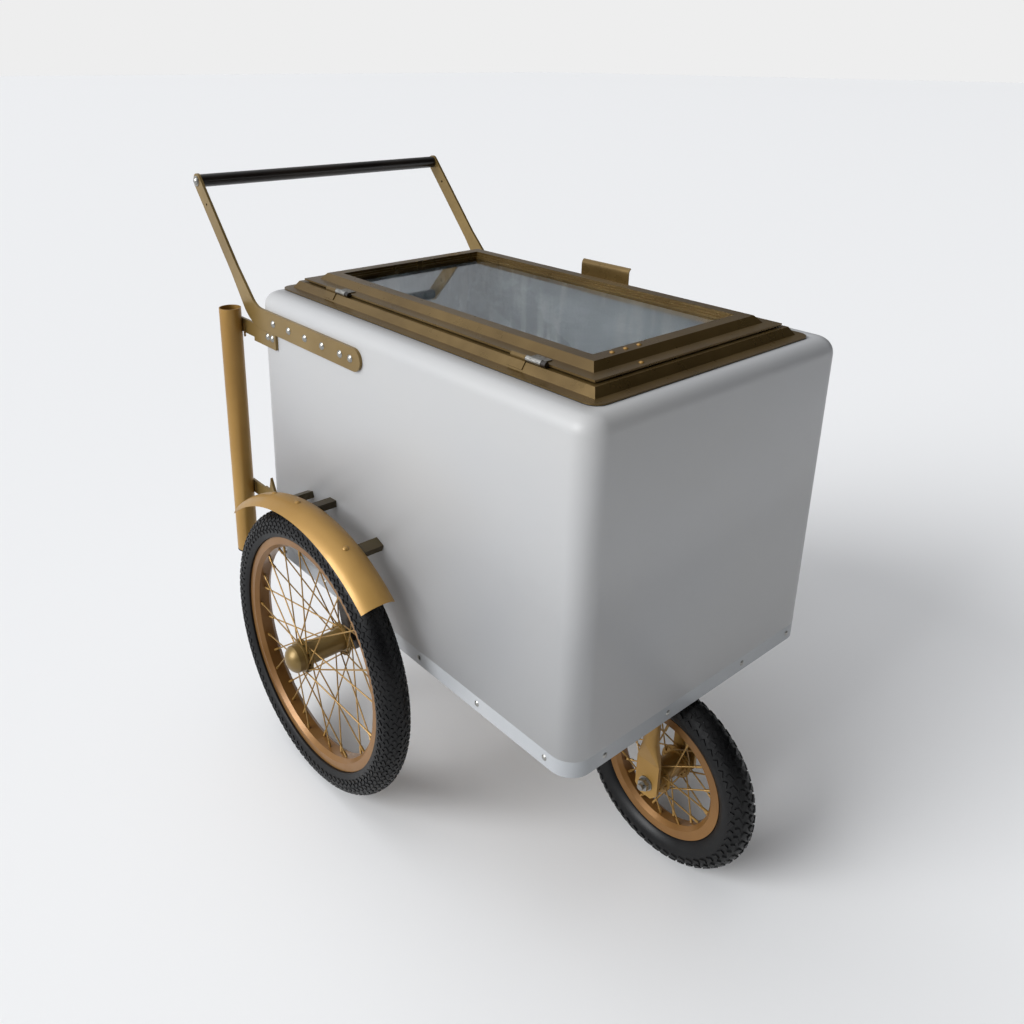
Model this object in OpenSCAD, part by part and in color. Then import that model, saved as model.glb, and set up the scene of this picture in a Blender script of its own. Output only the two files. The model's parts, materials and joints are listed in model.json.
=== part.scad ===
// Push vending cart: an insulated moulded box on two spoked rear wheels and one steered front wheel,
// with a glazed lift-up lid, a push handle and a socket for an umbrella pole.
// Millimetres. +Z is up, the front faces -Y, and the origin is on the ground under the middle of the cart.

/* [Box] */
// Length of the moulded box
box_l = 800; // [720:10:960]
// Width of the moulded box
box_w = 556; // [500:4:660]
// Height of the box from the lower edge of the skirt to the deck
box_h = 518; // [440:2:620]
// Radius of the upright corners
corner_r = 36; // [30:1:44]
// Radius of the edge around the deck
deck_edge_r = 24; // [12:1:28]
// Thickness of the moulded skin
shell_t = 4; // [3:0.5:5]
// Thickness of the insulated floor above the floor panel
floor_foam_t = 46; // [44:1:80]
// Height of the riveted skirt
skirt_h = 26; // [24:1:30]
// Thickness of the skirt band
skirt_t = 4.5; // [4.5:0.5:6]

/* [Lid] */
// Width of the lid over its outer flange
lid_w = 412; // [360:2:430]
// Length of the lid over its outer flange
lid_l = 692; // [620:2:720]
// Distance of the lid's middle in front of the middle of the box
lid_shift = -9; // [-14:1:4]
// Width of the lid's flat outer flange
lid_flange_w = 20; // [16:1:24]
// Horizontal run of the lid's sloping face
lid_slope_w = 10; // [8:1:14]
// Height of the lid's raised ring above its flange
lid_rise = 11; // [9:1:16]
// Width of the flat ring round the glass
lid_ring_w = 20; // [17:1:26]
// Thickness of the frame sheet
frame_t = 2.5; // [2:0.5:3]
// Thickness of the glass
glass_t = 4; // [3:0.5:6]
// How far the base frame reaches past the lid on each side
base_margin = 32; // [28:1:36]
// Width of the base frame's flange on the deck
base_flange_w = 17; // [14:1:18]
// Height of the base frame above its flange seal
base_h = 14; // [12:1:20]
// Length of one hinge
hinge_l = 56; // [44:2:70]
// Outer diameter of the hinge knuckles
knuckle_d = 9; // [8:0.5:10]
// Diameter of the hinge pins
hinge_pin_d = 5; // [4:0.5:6]
// Distance of each hinge from the middle of the lid
hinge_off = 231; // [180:1:280]
// Length of the pull tab
pull_l = 110; // [80:2:140]
// Height of the pull tab above the lid flange
pull_h = 29; // [22:1:40]

/* [Handle] */
// Distance of the handle bar behind the box
handle_reach = 204; // [170:2:240]
// Height of the handle bar above the ground
handle_z = 1007; // [960:1:1080]
// Diameter of the handle bar
handle_d = 24; // [20:1:30]
// Height of the side straps
strap_h = 38; // [34:1:44]
// Width of the arms above the bend
arm_w = 28; // [24:1:32]
// Thickness of the straps
strap_t = 5; // [4:0.5:6]
// Distance of the strap's middle below the deck
strap_drop = 48; // [44:1:60]
// Length of the straps along the box, measured from the rear face
strap_l = 332; // [300:1:360]
// Radius inside the bend between strap and arm
strap_bend_r = 45; // [30:1:60]

/* [Umbrella socket] */
// Outer diameter of the umbrella tube
pole_tube_d = 40; // [36:1:46]
// Wall of the umbrella tube
pole_tube_t = 2; // [1.5:0.5:3]
// Height of the top of the umbrella tube
pole_tube_top = 795; // [760:5:820]
// Length of the umbrella tube
pole_tube_l = 495; // [420:5:540]
// Distance of the tube's middle behind the box
pole_tube_back = 65; // [55:1:80]

/* [Rear wheels] */
// Outer diameter of the rear tyres
rear_tyre_d = 508; // [490:2:520]
// Width of the rear tyres
rear_tyre_w = 56; // [50:1:58]
// Diameter over the edges of the rear rims
rear_rim_d = 418; // [404:2:424]
// From the side of the box to the middle of a rear tyre
rear_side_gap = 62; // [58:1:80]
// Spokes in each rear wheel
rear_spokes = 36; // [28, 32, 36]
// Diameter of the rear axle
rear_axle_d = 17; // [15:1:18]

/* [Front wheel] */
// Outer diameter of the front tyre
front_tyre_d = 314; // [300:2:316]
// Width of the front tyre
front_tyre_w = 54; // [48:1:58]
// Diameter over the edges of the front rim
front_rim_d = 218; // [206:2:222]
// Spokes in the front wheel
front_spokes = 28; // [20, 24, 28]
// Diameter of the front axle
front_axle_d = 10; // [9:0.5:12]
// Distance of the front axle behind the front of the box
front_setback = 43; // [40:1:60]
// Distance between the front and rear axles
wheelbase = 499; // [460:1:560]
// Diameter of the fork blades
blade_d = 25; // [22:1:26]
// Diameter of the steering stem
stem_d = 25.4; // [22:0.1:26]

/* [Fenders] */
// Width of a fender
fender_w = 62; // [58:1:70]
// Radius of the fender's crown
fender_r = 347; // [330:1:370]
// Distance of the fender's centre of curvature below the axle
fender_drop = 70; // [60:1:80]
// Height of the fender's crown above its edges
fender_crown = 15; // [10:1:18]
// Angle that the fender covers
fender_angle = 77; // [60:1:90]
// Thickness of the fender sheet
fender_t = 1.5; // [1:0.25:2]

/* [Fasteners] */
// Diameter of the strap bolts
bolt_d = 7; // [6:0.5:8]
// Diameter of the skirt rivets
rivet_d = 4.8; // [4:0.2:5]
// Number of rivets along each side of the skirt
side_rivets = 6; // [4:1:7]

/* [Fits] */
// Radial clearance of a turning fit
run_fit = 0.05; // [0.02:0.01:0.1]
// Radial clearance of a bolt or rivet in its hole
bolt_fit = 0.1; // [0.05:0.05:0.3]
// Gap between pieces that move past each other
move_gap = 0.3; // [0.3:0.05:0.6]
// Gap between nested pieces that are fixed together
nest_gap = 0.3; // [0.1:0.1:0.5]

/* [Hidden] */
$fn = 48;

// Box and underside
box_z0 = max(rear_tyre_d / 2 + 64, front_tyre_d + 4);
deck_z = box_z0 + box_h;
total_l = front_tyre_d / 2 - front_setback + box_l + handle_reach + handle_d / 2;
box_y0 = -total_l / 2 + front_tyre_d / 2 - front_setback;
box_y1 = box_y0 + box_l;
box_yc = (box_y0 + box_y1) / 2;
side_x = box_w / 2;
skirt_top = box_z0 + skirt_h;
panel_z0 = skirt_top + 8;
panel_t = 8;
panel_z1 = panel_z0 + panel_t;
liner_t = 3;
liner_z0 = panel_z1 + floor_foam_t;
frame_z0 = box_z0 + 4;
angle_t = 3;
angle_leg = 30;
angle_in = skirt_t;
rail_in = skirt_t + angle_t;
cross_w = 30;
cross_h = 30;
cross_t = 2;
cross_z0 = panel_z0 - angle_t - cross_h;
side_rivet_inset = 49;
end_rivet_xs = [-210, -74, 110, 236];

// Wheels
rear_r = rear_tyre_d / 2;
front_r = front_tyre_d / 2;
front_y = box_y0 + front_setback;
rear_y = front_y + wheelbase;

// Lid and base frame, as half widths from the middle
lid_yc = box_yc - lid_shift;
lid_dl = (lid_l - lid_w) / 2;
lid_u = lid_w / 2;
lid_slope_u = lid_u - lid_flange_w;
ring_u = lid_slope_u - lid_slope_w;
glass_u = ring_u - lid_ring_w;
base_u = lid_u + base_margin;
base_flange_u = base_u - base_flange_w;
base_slope_w = 8;
base_top_u = base_flange_u - base_slope_w;
base_in_u = lid_u - 18;
seal_t = 1;
gasket_t = 2;
base_z0 = deck_z + seal_t;
base_z1 = base_z0 + base_h;
lid_z0 = base_z1 + gasket_t;
flange_t = 3;
flange_z1 = lid_z0 + flange_t;
ring_z = flange_z1 + lid_rise;
glass_z0 = base_z1;
glass_z1 = glass_z0 + glass_t;
rebate_w = 6;
liner_u = base_in_u - liner_t - nest_gap;
liner_corner_r = 30;
liner_lip_w = 12;
liner_lip_t = seal_t;
base_corner_r = 20;
lid_screw_d = 3.5;
lid_screw_head = 7.5;
lid_screw_xs = [-130, -103, -76];
flange_screw_x = -106;
leaf_t = 1.5;
leaf_w = 14;
pin_head_l = 8;
pull_y = lid_yc + 6;
pull_t = 1.5;
pull_flare_r = 9;
pull_flare_angle = 60;

// Hinges
hinge_x = -lid_u - knuckle_d / 2 - move_gap;
hinge_z = base_z1 + knuckle_d / 2 + move_gap;
hinge_ys = [lid_yc - hinge_off, lid_yc + hinge_off];
knuckle_l = (hinge_l - move_gap) / 2;

// Handle
strap_z = deck_z - strap_drop;
bar_y = box_y1 + handle_reach;
bend_y = box_y1 - 19;
bend_z = strap_z + strap_h / 2 + strap_bend_r;
bend_mid_r = strap_bend_r + strap_h / 2;
bar_dy = bar_y - bend_y;
bar_dz = handle_z - bend_z;
arm_l = sqrt(bar_dy * bar_dy + bar_dz * bar_dz - bend_mid_r * bend_mid_r);
arm_angle = atan2(bar_dz, bar_dy) + atan2(bend_mid_r, arm_l);
arm_taper_l = 70;
strap_front = box_y1 - strap_l;
strap_pitch = 53.5;
strap_first = 27;
bolt_ys = concat([strap_front + strap_first], [for (i = [1:5]) strap_front + strap_first + 29 + (i - 1) * strap_pitch]);
backing_t = 4;
backing_l = strap_l - 60;
backing_yc = strap_front + 8 + backing_l / 2;
bolt_tail = 2;
arm_hole_d = 5;
arm_hole_off = 53;
bar_bolt_d = 8;
bolt_head_d = 13;
bolt_head_h = 3.5;

// Umbrella socket
// Middle of the umbrella tube: the pole slides past the handle strap on its way down
pole_clear = 0.3;
pole_x = -side_x - strap_t - (pole_tube_d / 2 - pole_tube_t) - pole_clear;
pole_y = box_y1 + pole_tube_back;
pole_z0 = pole_tube_top - pole_tube_l;
bracket_t = strap_t;
bracket_y0 = box_y1 - 67;
bracket_y1 = box_y1 + 12;
upper_bracket_z = strap_z - 47;
upper_bracket_h = 40;
lower_bracket_z = upper_bracket_z - 326;
lower_bracket_h = 32;
bracket_tab_h = 26;
bracket_bolt_ys = [box_y1 - 56, box_y1 - 40];
bracket_bolt_zs = [upper_bracket_z + 19, lower_bracket_z + 16];
bracket_bolt_yc = (bracket_bolt_ys[0] + bracket_bolt_ys[1]) / 2;
bracket_backing_l = 26;
bracket_backing_h = 16;
gusset_w = 20;
gusset_h = 27;

// Rear hub, measured outwards from the wheel's middle
flange_out = 26;
flange_in = -50;
flange_d = 60;
hub_flange_t = 3;
barrel_d = 40;
bearing_w = 10;
bearing_d = rear_axle_d + 18;
hub_s0 = flange_in - 4;
hub_s1 = flange_out + 6;
cap_l = 28;
cap_d = 52;
rear_track_half = side_x + rear_side_gap;
rear_axle_half = rear_track_half + hub_s1 + 15;
washer_t = 2.5;
nut_t = 10;
nut_af = 24;
plate_x = side_x - rail_in;
plate_t = 6;
plate_half_top = 45;
plate_r = 27;
beam_w = 35;
beam_t = 2.5;
rear_rim_w = 34;
front_rim_w = 30;
rim_t = 2.4;
spoke_d = 2.5;
spoke_hole_d = 3;
nipple_d = 4.4;
nipple_l = 12;

// Front hub and fork
front_flange = 25;
front_flange_d = 54;
front_barrel_d = 34;
front_bearing_w = 8;
front_bearing_d = front_axle_d + 16;
front_hub_half = 31;
blade_x = front_tyre_w / 2 + 7.5 + blade_d / 2;
dropout_t = 6;
dropout_w = 42;
dropout_top = front_r + 42;
blade_low = front_r + 78;
crown_z0 = box_z0 + 3;
crown_h = 14;
crown_w = 30;
head_plate_t = 6;
head_z0 = panel_z0 - angle_t - head_plate_t;
head_z1 = head_z0 + 42;
crown_z1 = crown_z0 + crown_h;
head_d = stem_d + 11;
bush_t = 2.3;
bush_l = 12;
bush_rim = 3;
stem_nut_t = 6;
stem_z1 = head_z1 + bush_rim + 0.3 + stem_nut_t + 2;
front_tube_y = front_y + 63;
front_axle_half = blade_x + dropout_t / 2 + 16;

// Fenders
fender_x = rear_track_half + 6;
fender_y = rear_y + 5;
fender_z = rear_r - fender_drop;
fender_arc_r = (fender_w * fender_w / 4 + fender_crown * fender_crown) / (2 * fender_crown);
fender_stays = [72.5, 86, 110.5];
stay_w = 20;
stay_h = 12;
stay_t = 2.5;
stay_angle = stay_w / fender_r * 180 / PI;
fender_bolt_d = 6;

// Colours
gold = [0.62, 0.5, 0.27];
white = [0.93, 0.94, 0.95];
black = [0.08, 0.08, 0.08];
steel = [0.7, 0.7, 0.7];

// ---------- Shared shapes ----------

// Flat rectangle with round corners, centred, w along X and l along Y
module round_rect(w, l, r) {
    square([w - 2 * r, l], center = true);
    square([w, l - 2 * r], center = true);
    for (x = [-1, 1], y = [-1, 1])
        translate([x * (w / 2 - r), y * (l / 2 - r)]) circle(r);
}

// Upright block with round upright corners
module round_block(w, l, r, z0, z1) {
    translate([0, box_yc, z0]) linear_extrude(z1 - z0) round_rect(w, l, r);
}

// Block whose top edges are round as well
module soft_block(w, l, r, e, z0, z1) {
    translate([0, box_yc, 0]) hull()
        for (x = [-1, 1], y = [-1, 1]) translate([x * (w / 2 - r), y * (l / 2 - r), 0])
            rotate_extrude($fn = 64) {
                translate([0, z0]) square([r, z1 - e - z0]);
                translate([0, z0]) square([r - e, z1 - z0]);
                translate([r - e, z1 - e]) intersection() {
                    circle(e);
                    square(e);
                }
            }
}

// Points of an arc round c from angle a0 to a1
function arc(c, r, a0, a1, n = 16) = [for (i = [0:n]) c + r * [cos(a0 + (a1 - a0) * i / n), sin(a0 + (a1 - a0) * i / n)]];

// Turns a shape drawn round Z so that it stands round X: its X becomes Y and its Y becomes Z
module about_x(y, z, x = 0) {
    translate([x, y, z]) rotate([90, 0, 90]) children();
}

// Rod of diameter d between two points
module rod(a, b, d) {
    v = b - a;
    l = norm(v);
    translate(a) rotate([0, acos(v[2] / l), atan2(v[1], v[0])]) cylinder(d = d, h = l);
}

// Six-sided nut with its hole, on the XY plane
module nut(af, t, hole) {
    difference() {
        cylinder(d = af / cos(30), h = t, $fn = 6);
        translate([0, 0, -1]) cylinder(d = hole, h = t + 2);
    }
}

// Button-head bolt that points along -Z, with its head on the XY plane
module button_bolt(d, l, head_d, head_h) {
    translate([0, 0, -l]) cylinder(d = d, h = l);
    intersection() {
        translate([0, 0, head_h - head_d * 0.62]) sphere(d = head_d * 1.24);
        cylinder(d = head_d, h = head_h);
    }
}

// Ring of four mitred sides; the outline gives distance from the middle against height
module mitred_ring(outline, dl) {
    far = 600;
    for (s = [-1, 1]) {
        intersection() {
            scale_side(s) translate([0, far, 0]) rotate([90, 0, 0]) linear_extrude(2 * far) polygon(outline);
            linear_extrude(2 * far + deck_z)
                polygon([[0, -dl], [s * far, -dl - far], [s * far, dl + far], [0, dl]]);
        }
        intersection() {
            translate([-far, s * dl, 0]) rotate([90, 0, 90]) linear_extrude(2 * far)
                polygon([for (p = outline) [s * p[0], p[1]]]);
            linear_extrude(2 * far + deck_z)
                polygon([[0, s * dl], [-far, s * (dl + far)], [far, s * (dl + far)]]);
        }
    }
}

module scale_side(s) {
    if (s > 0) children();
    else mirror([1, 0, 0]) children();
}

// ---------- Box ----------

module deck_opening(z0, z1) {
    translate([0, lid_yc, z0]) linear_extrude(z1 - z0)
        round_rect(2 * base_in_u, 2 * (base_in_u + lid_dl), liner_corner_r);
}

// Bolt pattern of both straps, as holes along X through the sides of the box
module strap_holes(d, x0, x1) {
    for (s = [-1, 1], y = bolt_ys)
        translate([s * x0, y, strap_z]) rotate([0, s * 90, 0]) cylinder(d = d, h = x1 - x0);
}

// Bolt pattern of the umbrella brackets
module bracket_holes(d, x0, x1) {
    for (z = bracket_bolt_zs, y = bracket_bolt_ys)
        translate([-x0, y, z]) rotate([0, -90, 0]) cylinder(d = d, h = x1 - x0);
}

module body_shell() {
    color(white) difference() {
        soft_block(box_w, box_l, corner_r, deck_edge_r, skirt_top, deck_z);
        soft_block(box_w - 2 * shell_t, box_l - 2 * shell_t, corner_r - shell_t, deck_edge_r - shell_t,
            skirt_top - 1, deck_z - shell_t);
        deck_opening(deck_z - shell_t - 1, deck_z + 1);
        strap_holes(bolt_d + 2 * bolt_fit, side_x - shell_t - 1, side_x + 1);
        bracket_holes(bolt_d + 2 * bolt_fit, side_x - shell_t - 1, side_x + 1);
    }
}

module tub(u, z0, z1) {
    translate([0, lid_yc, z0]) linear_extrude(z1 - z0) round_rect(2 * u, 2 * (u + lid_dl), liner_corner_r);
}

module inner_liner() {
    color(white) difference() {
        union() {
            tub(liner_u + liner_t, liner_z0, deck_z);
            tub(liner_u + liner_t + liner_lip_w, deck_z, deck_z + liner_lip_t);
        }
        tub(liner_u, liner_z0 + liner_t, deck_z + liner_lip_t + 1);
    }
}

module insulation() {
    foam_in = shell_t + nest_gap;
    color("khaki") difference() {
        round_block(box_w - 2 * foam_in, box_l - 2 * foam_in, corner_r - foam_in, panel_z1, deck_z - deck_edge_r);
        tub(liner_u + liner_t + nest_gap, liner_z0 - nest_gap, deck_z);
        translate([0, front_y, panel_z1 - 1]) cylinder(d = head_d + 12, h = stem_z1 + 3 - panel_z1);
        for (s = [-1, 1]) translate([s * (side_x - shell_t), backing_yc, strap_z])
            cube([2 * (backing_t + bolt_tail), backing_l + 6, strap_h + 6], center = true);
        for (z = bracket_bolt_zs)
            translate([-side_x + shell_t, bracket_bolt_yc, z])
                cube([2 * (backing_t + bolt_tail), bracket_backing_l + 4, bracket_backing_h + 4], center = true);
    }
}

module floor_panel() {
    edge = shell_t + nest_gap;
    color("burlywood") difference() {
        round_block(box_w - 2 * edge, box_l - 2 * edge, corner_r - edge, panel_z0, panel_z1);
        translate([0, front_y, panel_z0 - 1]) cylinder(d = head_d + 2, h = panel_t + 2);
    }
}

// Places children at each rivet, with +Z pointing out of the skirt and the XY plane on its face
module at_rivets() {
    rivet_z = box_z0 + skirt_h / 2;
    side_pitch = (box_l - 2 * side_rivet_inset) / (side_rivets - 1);
    for (s = [-1, 1], i = [0:side_rivets - 1])
        translate([s * side_x, box_y0 + side_rivet_inset + i * side_pitch, rivet_z]) rotate([0, s * 90, 0]) children();
    for (x = end_rivet_xs) {
        translate([x, box_y0, rivet_z]) rotate([90, 0, 0]) children();
        translate([-x, box_y1, rivet_z]) rotate([-90, 0, 0]) children();
    }
}

module skirt_band() {
    color(white) difference() {
        round_block(box_w, box_l, corner_r, box_z0, skirt_top);
        round_block(box_w - 2 * skirt_t, box_l - 2 * skirt_t, corner_r - skirt_t, box_z0 - 1, skirt_top + 1);
        at_rivets() translate([0, 0, -skirt_t - 1]) cylinder(d = rivet_d + 2 * bolt_fit, h = skirt_t + 2);
    }
}

module skirt_rivets() {
    color(steel) at_rivets() {
        translate([0, 0, -skirt_t - angle_t - 2]) cylinder(d = rivet_d, h = skirt_t + angle_t + 2);
        intersection() {
            translate([0, 0, 2 - 6.4]) sphere(r = 6.4);
            cylinder(d = rivet_d * 2, h = 3);
        }
    }
}

// Angle-iron ring: an upright leg inside the skirt and a flat leg that carries the floor panel
module chassis_frame() {
    deep = angle_in + angle_t;
    wide = angle_in + angle_leg;
    color("dimgray") difference() {
        round_block(box_w - 2 * angle_in, box_l - 2 * angle_in, corner_r - angle_in, frame_z0, panel_z0);
        round_block(box_w - 2 * deep, box_l - 2 * deep, corner_r - deep, frame_z0 - 1, panel_z0 - angle_t);
        round_block(box_w - 2 * wide, box_l - 2 * wide, 4, frame_z0 - 1, panel_z0 + 1);
        translate([0, front_y, frame_z0]) cylinder(d = head_d + 1, h = 60);
        at_rivets() translate([0, 0, -deep - 1]) cylinder(d = rivet_d + 2 * bolt_fit, h = angle_t + 2);
    }
}

module cross_tubes() {
    top = panel_z0 - angle_t;
    color("dimgray") for (y = [front_tube_y + cross_w / 2, rear_y - plate_half_top + cross_w / 2,
            rear_y + plate_half_top - cross_w / 2, box_y1 - 90])
        translate([0, y, top - cross_h / 2]) difference() {
            cube([2 * plate_x, cross_w, cross_h], center = true);
            cube([2 * plate_x + 2, cross_w - 2 * cross_t, cross_h - 2 * cross_t], center = true);
        }
}

// ---------- Base frame and lid ----------

module base_ring(outline) {
    intersection() {
        translate([0, lid_yc, 0]) mitred_ring(outline, lid_dl);
        translate([0, lid_yc, 0]) linear_extrude(2 * deck_z)
            round_rect(2 * base_u, 2 * (base_u + lid_dl), base_corner_r);
    }
}

module base_seal() {
    color(black) base_ring([[base_u, deck_z], [base_u, base_z0], [base_flange_u + 2, base_z0],
        [base_flange_u + 2, deck_z]]);
}

module base_frame() {
    lip = 2;
    color(gold) {
        base_ring([
            [base_u, base_z0], [base_u, base_z0 + lip], [base_flange_u, base_z0 + lip], [base_top_u, base_z1],
            [base_in_u, base_z1], [base_in_u, base_z0], [base_in_u + frame_t, base_z0],
            [base_in_u + frame_t, base_z1 - frame_t], [base_top_u - 1.5, base_z1 - frame_t],
            [base_flange_u - 1.8, base_z0]
        ]);
    }
}

module lid_gasket() {
    color(black) translate([0, lid_yc, 0]) mitred_ring([
        [lid_u - 16, base_z1], [lid_u - 16, lid_z0 - move_gap], [lid_u - 6, lid_z0 - move_gap], [lid_u - 6, base_z1]
    ], lid_dl);
}

module lid_frame() {
    t = frame_t;
    color(gold) difference() {
        translate([0, lid_yc, 0]) mitred_ring([
            [lid_u, lid_z0], [lid_u, flange_z1], [lid_slope_u, flange_z1], [ring_u, ring_z], [glass_u, ring_z],
            [glass_u, glass_z0], [glass_u - rebate_w, glass_z0], [glass_u - rebate_w, glass_z0 - t],
            [glass_u + t, glass_z0 - t], [glass_u + t, ring_z - t], [ring_u - 1.2, ring_z - t],
            [lid_slope_u - 1.2, lid_z0]
        ], lid_dl);
        at_lid_screws() translate([0, 0, -8]) cylinder(d = lid_screw_d + 2 * bolt_fit, h = 10);
    }
}

// Places children at each screw of the lid frame, with +Z up and the XY plane on the sheet
module at_lid_screws() {
    for (x = lid_screw_xs) translate([x, lid_yc - lid_dl - (ring_u + glass_u) / 2, ring_z]) children();
    translate([flange_screw_x, lid_yc - lid_dl - (lid_u + lid_slope_u) / 2, flange_z1]) children();
}

module lid_screws() {
    color(steel) at_lid_screws() button_bolt(lid_screw_d, flange_t, lid_screw_head, 2.2);
}

module glass_pane() {
    color([0.7, 0.8, 0.85, 0.4]) translate([0, lid_yc, glass_z0 + glass_t / 2])
        cube([2 * (glass_u - nest_gap), 2 * (glass_u - nest_gap + lid_dl), glass_t], center = true);
}

// Stepped bead that holds the glass down inside the ring
module glazing_bead() {
    out = glass_u - nest_gap / 2;
    color(black) translate([0, lid_yc, 0]) mitred_ring([
        [out, glass_z1], [out, ring_z - 4.5], [out - 2.6, ring_z - 4.5], [out - 2.6, ring_z - 8],
        [glass_u - rebate_w, ring_z - 8], [glass_u - rebate_w, glass_z1]
    ], lid_dl);
}

// Half of a hinge: a knuckle from y0 to y1, joined to the leaf outline given in X and Z
module hinge_half(y0, y1, leaf) {
    translate([0, y1, 0]) rotate([90, 0, 0]) linear_extrude(y1 - y0) difference() {
        union() {
            translate([hinge_x, hinge_z]) circle(d = knuckle_d);
            polygon(leaf);
        }
        translate([hinge_x, hinge_z]) circle(d = hinge_pin_d + 2 * run_fit);
    }
}

module hinge_base_leaves() {
    run = base_flange_u - base_top_u;
    drop = base_z1 - base_z0 - 2;
    n = norm([run, drop]);
    out = leaf_t * [-drop, run] / n;
    top = [-base_top_u, base_z1];
    low = top + 0.8 * [-run, -drop];
    color(gold) for (y = hinge_ys)
        hinge_half(y + move_gap / 2, y + hinge_l / 2, [
            [hinge_x + 1, hinge_z - knuckle_d / 2 + 0.3], top, low, low + out, top + out, [hinge_x - knuckle_d / 2 + 0.3, hinge_z]
        ]);
}

module hinge_lid_leaves() {
    color(steel) for (y = hinge_ys)
        hinge_half(y - hinge_l / 2, y - move_gap / 2, [
            [hinge_x, flange_z1], [-lid_u + leaf_w, flange_z1], [-lid_u + leaf_w, flange_z1 + leaf_t],
            [hinge_x, flange_z1 + leaf_t]
        ]);
}

module hinge_pins() {
    color(black) for (y = hinge_ys) translate([hinge_x, 0, hinge_z]) rotate([90, 0, 0]) {
        translate([0, 0, -y - hinge_l / 2 + 1]) cylinder(d = hinge_pin_d, h = hinge_l + move_gap);
        translate([0, 0, -y + hinge_l / 2 + move_gap]) cylinder(d = knuckle_d - 1, h = pin_head_l);
    }
}

// Bent sheet on the flange opposite the hinges, with a lip that flares outwards
module pull_tab() {
    rise = pull_h - pull_flare_r * sin(pull_flare_angle);
    far = 4 * pull_flare_r;
    color(gold) translate([0, pull_y + pull_l / 2, 0]) rotate([90, 0, 0]) linear_extrude(pull_l) {
        translate([lid_slope_u + 2, flange_z1]) square([lid_flange_w - 2, pull_t]);
        translate([lid_u - pull_t, flange_z1]) square([pull_t, rise]);
        translate([lid_u + pull_flare_r, flange_z1 + rise]) intersection() {
            difference() {
                circle(pull_flare_r + pull_t);
                circle(pull_flare_r);
            }
            polygon([[0, 0], [-far, -far * tan(3)], [-far, far * tan(pull_flare_angle)]]);
        }
    }
}

// ---------- Handle ----------

// Outline of a strap and its arm, seen from the side (Y against Z); grow widens it for a clearance
module strap_outline(grow = 0) {
    w = strap_h / 2 + grow;
    aw = arm_w / 2 + grow;
    bend = [bend_y, bend_z];
    along = [cos(arm_angle), sin(arm_angle)];
    across = [-sin(arm_angle), cos(arm_angle)];
    start = bend - bend_mid_r * across;
    polygon([
        each arc([strap_front + strap_h / 2, strap_z], w, 90, 270, 24),
        each arc(bend, bend_mid_r + w, -90, arm_angle - 90),
        start + arm_taper_l * along - aw * across,
        each arc(start + arm_l * along, aw, arm_angle - 90, arm_angle + 90, 24),
        start + arm_taper_l * along + aw * across,
        each arc(bend, bend_mid_r - w, arm_angle - 90, -90)
    ]);
}

module bar_holes(d, x0, x1) {
    for (s = [-1, 1]) translate([s * x0, bar_y, handle_z]) rotate([0, s * 90, 0]) cylinder(d = d, h = x1 - x0);
}

module handle_strap(s) {
    hole_at = arm_l - arm_hole_off;
    color(gold) difference() {
        about_x(0, 0, s > 0 ? side_x : -side_x - strap_t) linear_extrude(strap_t) difference() {
            strap_outline();
            translate([bend_y, bend_z]) rotate(arm_angle) translate([hole_at, -bend_mid_r]) circle(d = arm_hole_d);
        }
        strap_holes(bolt_d + 2 * bolt_fit, side_x - 1, side_x + strap_t + 1);
        bar_holes(bar_bolt_d + 2 * bolt_fit, side_x - 1, side_x + strap_t + 1);
    }
}

module handle_strap_right() {
    handle_strap(-1);
}

module handle_strap_left() {
    handle_strap(1);
}

// Tapped strips behind the skin, under the straps and the umbrella brackets
module backing_strips() {
    x0 = side_x - shell_t - backing_t;
    color("dimgray") difference() {
        union() {
            for (s = [-1, 1]) translate([s * (x0 + backing_t / 2), backing_yc, strap_z])
                cube([backing_t, backing_l, strap_h - 8], center = true);
            for (z = bracket_bolt_zs) translate([-x0 - backing_t / 2, bracket_bolt_yc, z])
                cube([backing_t, bracket_backing_l, bracket_backing_h], center = true);
        }
        strap_holes(bolt_d, x0 - 1, side_x);
        bracket_holes(bolt_d, x0 - 1, side_x);
    }
}

module strap_bolts() {
    l = strap_t + shell_t + backing_t + bolt_tail;
    x = side_x + strap_t;
    color(steel) {
        for (s = [-1, 1], y = bolt_ys) translate([s * x, y, strap_z]) rotate([0, s * 90, 0])
            button_bolt(bolt_d, l, bolt_head_d, bolt_head_h);
        for (z = bracket_bolt_zs, y = bracket_bolt_ys) translate([-x, y, z]) rotate([0, -90, 0])
            button_bolt(bolt_d, l, bolt_head_d, bolt_head_h);
    }
}

module handle_bar() {
    color(black) difference() {
        translate([-side_x, bar_y, handle_z]) rotate([0, 90, 0]) cylinder(d = handle_d, h = box_w);
        bar_holes(bar_bolt_d, side_x - 24, side_x + 1);
    }
}

module handle_bolts() {
    x = side_x + strap_t;
    color(steel) for (s = [-1, 1]) translate([s * x, bar_y, handle_z]) rotate([0, s * 90, 0]) {
        difference() {
            cylinder(d = 20, h = 1.5);
            translate([0, 0, -1]) cylinder(d = bar_bolt_d - 1, h = 2);
        }
        translate([0, 0, 1.5]) button_bolt(bar_bolt_d, strap_t + 22, 14, 4.5);
    }
}

// ---------- Umbrella socket ----------

module umbrella_tube() {
    color(gold) translate([pole_x, pole_y, pole_z0]) difference() {
        cylinder(d = pole_tube_d, h = pole_tube_l);
        translate([0, 0, -1]) cylinder(d = pole_tube_d - 2 * pole_tube_t, h = pole_tube_l + 2);
    }
}

module umbrella_tube_plug() {
    color(black) translate([pole_x, pole_y, pole_z0 - 3]) cylinder(d = pole_tube_d, h = 3);
}

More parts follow.
